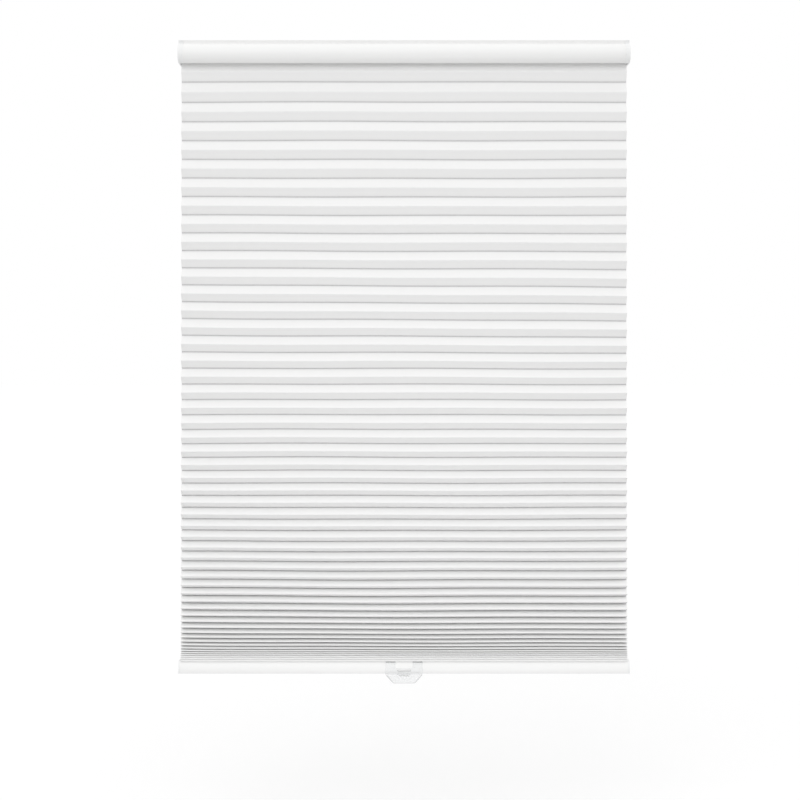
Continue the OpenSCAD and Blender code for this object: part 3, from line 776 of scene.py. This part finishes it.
def cloth_faces(count, loop):
    """Faces of the cloth: bands of quads along X between its lines, and rims that close the cut ends.

    The lines are numbered as cloth_shell() has them: two skins of count lines, a tube of loop lines for
    each cell, and two pockets of four.
    """
    front, back = np.arange(count), count + np.arange(count)
    tubes = 2 * count + np.arange(CELL_COUNT * loop).reshape(CELL_COUNT, loop)
    pockets = tubes[-1, -1] + 1 + np.arange(8).reshape(2, 4)
    first = np.concatenate([front[:-1], back[:-1], front[[0, -1]], tubes.ravel(), pockets.ravel()])
    second = np.concatenate([front[1:], back[1:], back[[0, -1]], np.roll(tubes, -1, axis=1).ravel(),
                             np.roll(pockets, -1, axis=1).ravel()])
    column = np.arange(COLUMNS - 1)
    first, second = first[:, None] * COLUMNS + column, second[:, None] * COLUMNS + column
    bands = np.stack([first, first + 1, second + 1, second], axis=-1).reshape(-1, 4)

    steps = len(STEPS) - 1
    outer = HEAD_LINES + steps * np.arange(CELL_COUNT)[:, None] + np.arange(steps + 1)
    near, far = tubes[:, :steps + 1], tubes[:, :steps:-1]
    walls = [np.stack([skin[:, :-1], skin[:, 1:], tube[:, 1:], tube[:, :-1]], axis=-1).reshape(-1, 4)
             for skin, tube in [(outer, near), (count + outer, far)]]
    strips = np.stack([outer[1:, 0], near[:-1, -1], far[:-1, -1], count + outer[1:, 0], far[1:, 0],
                       near[1:, 0]], axis=-1)
    top, end = HEAD_LINES, count - FOOT_LINES
    necks = [[top - 1, top, near[0, 0], far[0, 0], count + top, count + top - 1],
             [end, end + 1, count + end + 1, count + end, far[-1, -1], near[-1, -1]]]
    hem_walls, hem_mouths = [], []
    for (a, b, c), corners in zip([(0, 1, 2), (count - 1, count - 2, count - 3)], pockets):
        far_left, near_left, near_right, far_right = corners
        hem_walls += [[a, b, near_left, far_left], [count + a, count + b, near_right, far_right],
                      [a, far_left, far_right, count + a]]
        hem_mouths.append([b, c, count + c, count + b, near_right, near_left])

    faces = bands.tolist()
    for rims in (np.concatenate(walls + [hem_walls]), np.concatenate([strips, necks, hem_mouths])):
        faces += (rims * COLUMNS).tolist() + (rims * COLUMNS + COLUMNS - 1).tolist()
    return faces


def cloth_shell():
    """The glued cells as one closed cloth: two pleated skins outside, a tube inside each cell.

    Each line of cloth_lines() is carried along X and swayed. Gives the shell, and the share of the lift
    and the fold of each point.
    """
    skin, tubes, pockets = cloth_lines()
    lines = np.concatenate([skin * FRONT, skin, tubes.reshape(-1, 4), pockets.reshape(-1, 4)])
    x = np.linspace(-CLOTH_HALF, CLOTH_HALF, COLUMNS)[None, :]
    y, z = lines[:, 0:1], lines[:, 1:2]
    points = np.stack(np.broadcast_arrays(x, CLOTH_Y + y, z + sway(x, z)), axis=-1).reshape(-1, 3)
    lift, fold = np.repeat(lines[:, 2], COLUMNS), np.repeat(lines[:, 3], COLUMNS)
    return (points, cloth_faces(len(skin), tubes.shape[1])), lift, fold


cloth_mesh, cloth_lift, cloth_fold = cloth_shell()
cloth = mesh_piece("honeycomb_cloth", cloth_mesh, sharp_angle=50.0)
point_values(cloth, "fold", cloth_fold)
finished(cloth, FABRIC, "cloth", None, "honeycomb_fabric")
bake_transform(cloth, "headrail", "bottom_rail", start=(0, CLOTH_Y * MM, CLOTH_TOP * MM),
         end=(0, CLOTH_Y * MM, CLOTH_END * MM))
point_values(cloth, "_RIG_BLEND", cloth_lift)


# Lift cords

RING_POINTS = 12
RUN_RINGS = 5
BEND_RINGS = 9
DROP_RINGS = 40
KNOT_ARC = np.linspace(0.25, math.pi - 0.05, 9)
KNOT_END = 0.1


def cord_shell():
    """Right lift cord: a round tube along the headrail, over the roller and down to its knot.

    The path is a straight run, a quarter circle and a drop; each ring is centre + radius * (normal *
    cos + side * sin), and the knot is a swelling at the end.
    """
    bend = ROLLER_RADIUS + CORD_RADIUS
    turn = np.radians(np.linspace(90, 0, BEND_RINGS))
    corner_x, corner_z = CORD_X - bend, CORD_Z - bend
    run = np.linspace(CORD_START_X, corner_x, RUN_RINGS)[:-1]
    drop = np.linspace(corner_z, KNOT_Z + KNOT_RADIUS, DROP_RINGS)[1:]
    knot = KNOT_Z + KNOT_RADIUS * np.cos(KNOT_ARC)
    below = len(drop) + len(knot)
    path_x = np.concatenate([run, corner_x + bend * np.cos(turn), np.full(below, CORD_X)])
    path_z = np.concatenate([np.full(len(run), CORD_Z), corner_z + bend * np.sin(turn), drop, knot])
    lean = np.concatenate([np.full(len(run), math.pi / 2), turn, np.zeros(below)])[:, None]
    radius = np.full(len(path_x), CORD_RADIUS)
    radius[-len(knot):] = np.maximum(KNOT_RADIUS * np.sin(KNOT_ARC), KNOT_END)
    angle = np.linspace(0, 2 * math.pi, RING_POINTS, endpoint=False)
    across, side = radius[:, None] * np.cos(angle), radius[:, None] * np.sin(angle)
    points = np.stack([path_x[:, None] + across * np.cos(lean), CLOTH_Y + side,
                       path_z[:, None] + across * np.sin(lean)], axis=-1).reshape(-1, 3)
    faces = grid_faces(len(path_x), RING_POINTS, wrap=True).tolist() + end_faces(len(path_x), RING_POINTS)
    return points, faces


def cord_travel(points):
    """Share of the rail's travel for each point of a cord: 0 above the roller, 1 at the rail's web."""
    top, bottom = CORD_Z - ROLLER_RADIUS - CORD_RADIUS, RAIL_WEB_Z
    return np.clip((top - points[:, 2]) / (top - bottom), 0, 1)


for side, shell in right_and_left(cord_shell()):
    cord = mesh_piece("lift_cord_run_" + side, shell, sharp_angle=60.0)
    finished(cord, CORD, "cord", None, "lift_cord_" + side)
    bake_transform(cord, "headrail", "bottom_rail", start=(0, 0, (CORD_Z - ROLLER_RADIUS) * MM),
             end=(0, 0, RAIL_WEB_Z * MM))
    point_values(cord, "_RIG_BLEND", cord_travel(shell[0]))


# Pull handle: heights are above the bottom rail's foot, depths are from the cloth's middle plane

HANDLE_HALF = HANDLE_WIDTH / 2
ARM_OUT = HANDLE_HALF - 1.0
ARM_IN = ARM_OUT - HANDLE_ARM
SLOT_REACH = HANDLE_SLOT / 2
TAB_HALF = TAB_WIDTH / 2
RAIL_HEIGHT = RAIL_TOP - RAIL_Z
HOOK_HEIGHT = RAIL_HEIGHT + 0.5
ARM_HEIGHT = RAIL_HEIGHT - 0.4
BAR_HEIGHT = 9.0
SHOULDER_HIGH = BAR_HEIGHT + 0.2
SHOULDER_LOW = BAR_HEIGHT - 1.0
SLOT_HIGH = 7.2
SLOT_LOW = 5.2
BAR_LOW = 4.0
LEDGE_LOW = -1.0
LINE_LOW = -3.0
TAB_LOW = handle_low[2] - RAIL_Z
TAB_CORNER = TAB_LOW + 2.0
TAB_EDGE = TAB_LOW + 0.9
CORNER_WIDER = 2.5
HOOK_DEPTHS = [-15.0, -18.6]
TAB_SLANT = 1.8
LINE_REACH = 7.0
BEVEL = 0.45
BEVEL_STEPS = 3
BEVEL_ANGLE = 50
FOOT_FRONT = 0.6
FOOT_GAP = 0.05
FOOT_FRONT_ROUND = 0.3
FOOT_BACK_ROUND = 0.6
FOOT_SHORTER = 1.2
FOOT_TIP = 0.3
FOOT_BEVEL = 0.25

# How much painted shade greys the plastic, from 0 to 1, for the dark look of its thick parts
TAB_GREY = 0.38
OUTLINE_GREY = 0.4
LINE_GREY = 0.5
LEDGE_GREY = 0.4
TAB_FOOT_GREY = 0.9


def handle_shade(rows, columns):
    """Painted shade of each point: full at the hooks, a shadow under the slot, middling on ledge and tab.

    Along the tab's foot it is nearly full.
    """
    side = np.abs(columns)
    edge = np.zeros((len(rows), len(columns)))
    edge[rows >= ARM_HEIGHT] = 1.0
    edge[rows < LEDGE_LOW] = TAB_GREY + OUTLINE_GREY * (side == HANDLE_HALF)
    edge[rows == LINE_LOW] += LINE_GREY * (side < LINE_REACH)
    edge[rows == TAB_LOW] = TAB_FOOT_GREY
    # Painted shadow: a grey line under the slot.
    edge[rows == SLOT_LOW] = side <= SLOT_REACH
    edge[rows == LEDGE_LOW] = LEDGE_GREY * (side <= SLOT_REACH)
    return edge.ravel()


def handle_shell():
    """Middle surface of the clip-on handle: rows down the rail's front, columns across its width.

    Above the bar only the two arms stay, and the slot under the bar is open. A row above the rail's
    foot lies on the circle round the rail's side, and below the foot on a slanted tab. Gives the shell
    and the painted shade of each point, which greys the thick plastic and paints a shadow under the slot.
    """
    rows = np.concatenate([[HOOK_HEIGHT, HOOK_HEIGHT], np.linspace(ARM_HEIGHT, BAR_HEIGHT, 8),
                           [(BAR_HEIGHT + SLOT_HIGH) / 2, SLOT_HIGH, SLOT_LOW],
                           np.linspace(BAR_LOW, LEDGE_LOW, 4), np.linspace(LINE_LOW, TAB_CORNER, 5),
                           [TAB_EDGE, TAB_LOW]])
    over = RAIL_ARC + SEAT_GAP + HANDLE_WALL / 2
    on_rail = -ARC_OFFSET - np.sqrt(np.maximum(over ** 2 - (rows - RAIL_MID) ** 2, 0))
    on_tab = -RAIL_REACH - HANDLE_WALL / 2 - TAB_SLANT * rows / TAB_LOW
    depth = np.where(rows < 0, on_tab, on_rail)
    depth[0:2] = HOOK_DEPTHS
    width = np.interp(rows, [TAB_LOW, TAB_CORNER, LEDGE_LOW, SHOULDER_LOW, SHOULDER_HIGH],
                      [TAB_HALF, TAB_HALF + CORNER_WIDER, HANDLE_HALF, HANDLE_HALF, ARM_OUT])
    columns = np.unique(np.concatenate([np.linspace(0, SLOT_REACH, 4), np.linspace(SLOT_REACH, ARM_IN, 3),
                                        np.linspace(ARM_IN, HANDLE_HALF, 5)]))
    columns = np.concatenate([-columns[:0:-1], columns])
    x = columns * width[:, None] / HANDLE_HALF
    points = np.stack(np.broadcast_arrays(x, CLOTH_Y + depth[:, None], RAIL_Z + rows[:, None]), axis=-1)

    middle_row = (rows[:-1, None] + rows[1:, None]) / 2
    middle_column = np.abs(columns[:-1] + columns[1:]) / 2
    gap = (middle_row > BAR_HEIGHT) & (middle_column < ARM_IN)
    slot = (middle_row > SLOT_LOW) & (middle_row < SLOT_HIGH) & (middle_column < SLOT_REACH)
    faces = grid_faces(len(rows), len(columns))[~(gap | slot).ravel()]
    used = np.unique(faces)
    shell = points.reshape(-1, 3)[used], np.searchsorted(used, faces).tolist()
    return shell, handle_shade(rows, columns)[used]


def handle_foot():
    """Ledge of the handle under the rail: a flat plate with rounded edges."""
    front, back = CLOTH_Y - RAIL_REACH - FOOT_FRONT, CLOTH_Y - RAIL_REACH + FOOT_REACH
    top, bottom = RAIL_Z - FOOT_GAP, RAIL_Z - HANDLE_WALL
    line = rounded([(front, top, FOOT_FRONT_ROUND), (back, top, FOOT_BACK_ROUND),
                    (back, bottom, FOOT_BACK_ROUND), (front, bottom, FOOT_FRONT_ROUND)])
    tip = inset(line, FOOT_BEVEL)
    end = HANDLE_HALF - FOOT_SHORTER
    inner_end = end - FOOT_TIP
    return carried([(-end, tip), (-inner_end, line), (inner_end, line), (end, tip)])


handle_mesh, handle_edge_shade = handle_shell()
handle = mesh_piece("pull_handle_clear", handle_mesh)
# Painted shade kept at each point of the handle, read by the clear plastic.
point_values(handle, "edge", handle_edge_shade)
wall = handle.modifiers.new("wall", "SOLIDIFY")
wall.thickness = HANDLE_WALL * MM
wall.offset = 0
wall.use_even_offset = True
bevel = handle.modifiers.new("edges", "BEVEL")
bevel.width = BEVEL * MM
bevel.segments = BEVEL_STEPS
bevel.limit_method = "ANGLE"
bevel.angle_limit = math.radians(BEVEL_ANGLE)
finished(handle, CLEAR, "clear_plastic", "bottom_rail", "pull_handle")
foot = mesh_piece("pull_handle_foot", handle_foot())
finished(foot, CLEAR, "clear_plastic", "bottom_rail")


# Stage, light and camera, in metres

PIXEL = 1 / 800
LENS = 82.76
SHIFT_Y = -60 * PIXEL
CAMERA_X = -0.0068
CAMERA_Z = -0.487
DISTANCE = 3.123
STUDIO_FLOOR_Z = -1.32
STUDIO_FLOOR_HALF = 30.0
FLOOR_GREY = (0.62, 0.62, 0.62, 1)
FLOOR_WHITE = (0.97, 0.97, 0.97, 1)
WHITE = (1, 1, 1, 1)
DOME = 1.035


def studio_world():
    """White for rays that show the background, an even dome for the light on the object."""
    studio = Finish("studio", bpy.data.worlds)
    dome = studio.node("ShaderNodeBackground", {}, {"Color": WHITE, "Strength": DOME})
    white = studio.node("ShaderNodeBackground", {}, {"Color": WHITE, "Strength": 1.0})
    mixed = studio.node("ShaderNodeMixShader", {}, {0: studio.seen(), 1: dome, 2: white})
    studio.node("ShaderNodeOutputWorld", {}, {"Surface": mixed})
    bpy.context.scene.world = studio.owner


def soft_lamp(name, place, target, size, power):
    """Square area lamp at place, turned to target, in metres and watts."""
    data = bpy.data.lights.new(name, "AREA")
    data.shape = "SQUARE"
    data.size = size
    data.energy = power
    lamp = bpy.data.objects.new(name, data)
    lamp.location = place
    lamp.rotation_euler = (Vector(target) - Vector(place)).to_track_quat("-Z", "Y").to_euler()
    lamp.visible_camera = False
    bpy.context.scene.collection.objects.link(lamp)


def pale_floor():
    """A wide floor well below the blind: pale grey for the light it sends up, near white where seen."""
    finish = Finish("pale_floor")
    grey = finish.node("ShaderNodeBsdfDiffuse", {}, {"Color": FLOOR_GREY})
    white = finish.node("ShaderNodeBsdfDiffuse", {}, {"Color": FLOOR_WHITE})
    mixed = finish.node("ShaderNodeMixShader", {}, {0: finish.seen(), 1: grey, 2: white})
    finish.node("ShaderNodeOutputMaterial", {}, {"Surface": mixed})
    corner = np.array([-STUDIO_FLOOR_HALF, STUDIO_FLOOR_HALF])
    x, y = np.meshgrid(corner, corner)
    points = np.stack([x.ravel(), y.ravel(), np.full(4, STUDIO_FLOOR_Z)], axis=-1) / MM
    floor = mesh_piece("floor", (points, [[0, 1, 3, 2]]))
    floor.data.materials.append(finish.owner)


studio_world()
pale_floor()
soft_lamp("key", place=(-0.8, -2.9, 1.4), target=(0, 0, -0.5), size=2.4, power=8)
soft_lamp("low_fill", place=(0.1, -1.3, -1.12), target=(0, 0, -0.9), size=0.35, power=1.35)

camera_data = bpy.data.cameras.new("camera")
camera_data.lens = LENS
camera_data.shift_y = SHIFT_Y
camera = bpy.data.objects.new("camera", camera_data)
camera.location = (CAMERA_X, CLOTH_Y * MM - DISTANCE, CAMERA_Z)
camera.rotation_euler = (math.pi / 2, 0, 0)
bpy.context.scene.collection.objects.link(camera)
bpy.context.scene.camera = camera
bpy.context.scene.view_settings.view_transform = "Standard"
